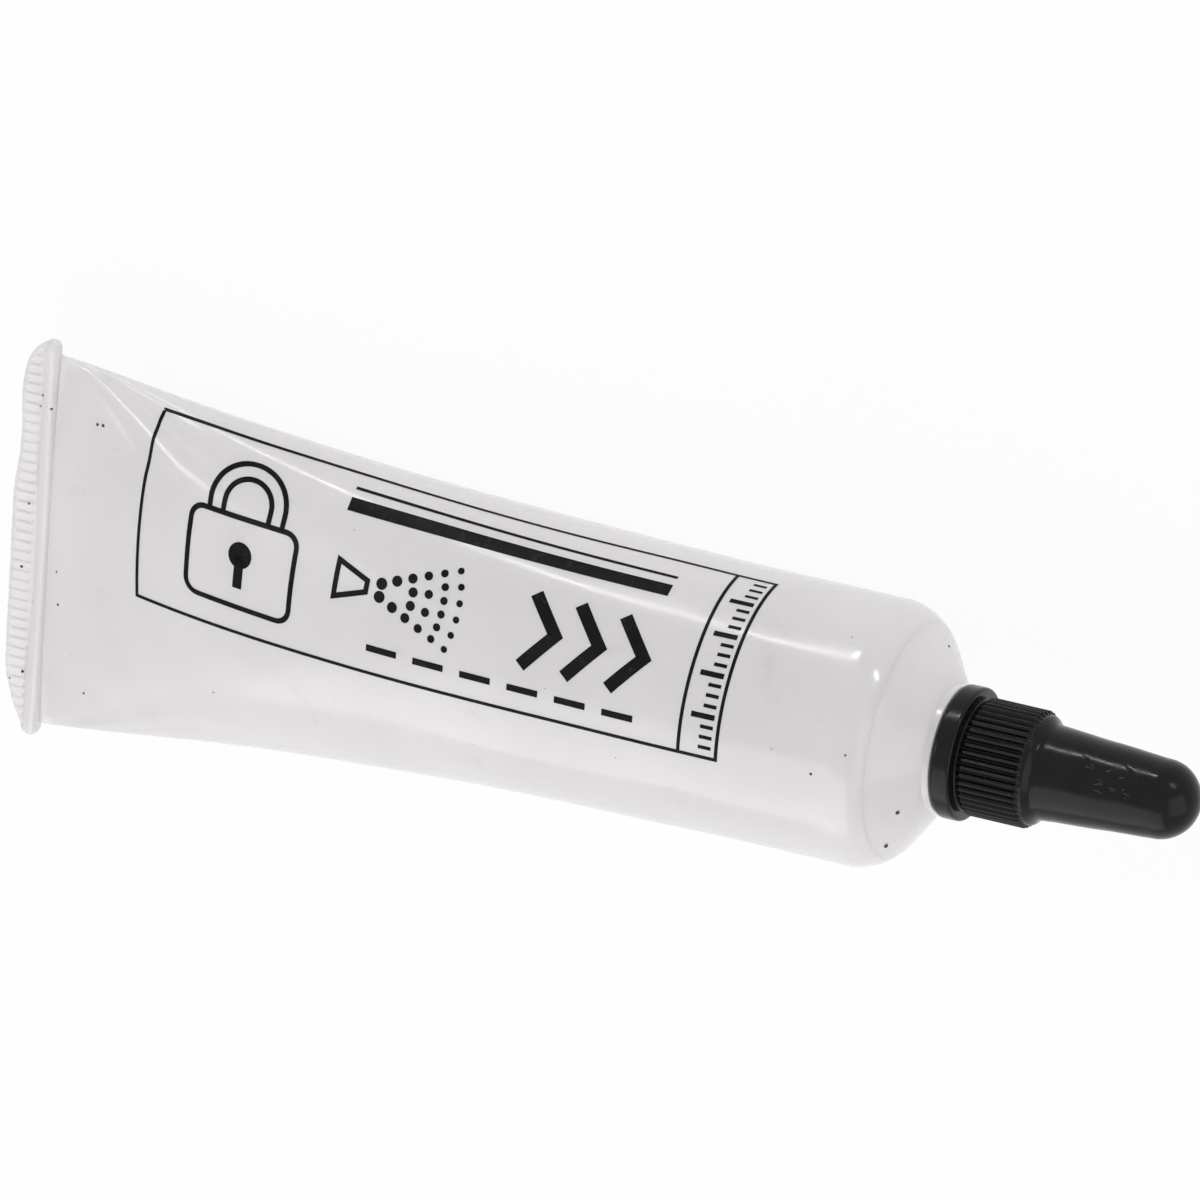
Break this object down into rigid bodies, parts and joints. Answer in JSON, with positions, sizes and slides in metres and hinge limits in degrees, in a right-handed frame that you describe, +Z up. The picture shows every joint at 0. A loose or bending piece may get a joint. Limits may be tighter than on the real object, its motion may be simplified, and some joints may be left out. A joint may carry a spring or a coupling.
{
  "type": "lubricant tube",
  "caption": "Squeeze tube of dry graphite for locks: white crimped plastic sleeve, tapered nozzle and ribbed black screw cap",
  "frame": {"origin": "middle of the bounding box in X and Y, at the height of the table the tube lies on", "axes": "+X along the lying tube from the crimp to the nozzle, +Y along the crimp, +Z up. The tube's own axis rises 3.58 degrees toward the nozzle, because the belly rests on the table and the crimp stands clear of it"},
  "size_m": [0.091, 0.0314, 0.0196],
  "materials": {
    "sleeve_plastic": "satin",
    "head_plastic": "satin",
    "cap_plastic": "semi-gloss",
    "plug_plastic": "satin",
    "powder": "loose dark powder"
  },
  "bodies": {
    "tube": {"tube_sleeve": "sleeve_plastic", "nozzle_head": "head_plastic", "graphite_powder": "powder"},
    "plug": {"seal_plug": "plug_plastic"},
    "cap": {"screw_cap": "cap_plastic"}
  },
  "joints": [
    {"name": "cap_travel", "type": "slide", "parent": "tube", "child": "plug", "axis": [0.998, 0, 0.0625], "range_m": [0, 0.018]},
    {"name": "cap_turn", "type": "hinge", "parent": "plug", "child": "cap", "pos_m": [0.02716, 0, 0.01049], "axis": [0.998, 0, 0.0625], "range_deg": [0, 2160]}
  ],
  "couplings": [
    {"joint": "cap_turn", "follows": "cap_travel", "rad_per_m": 2094.4}
  ]
}
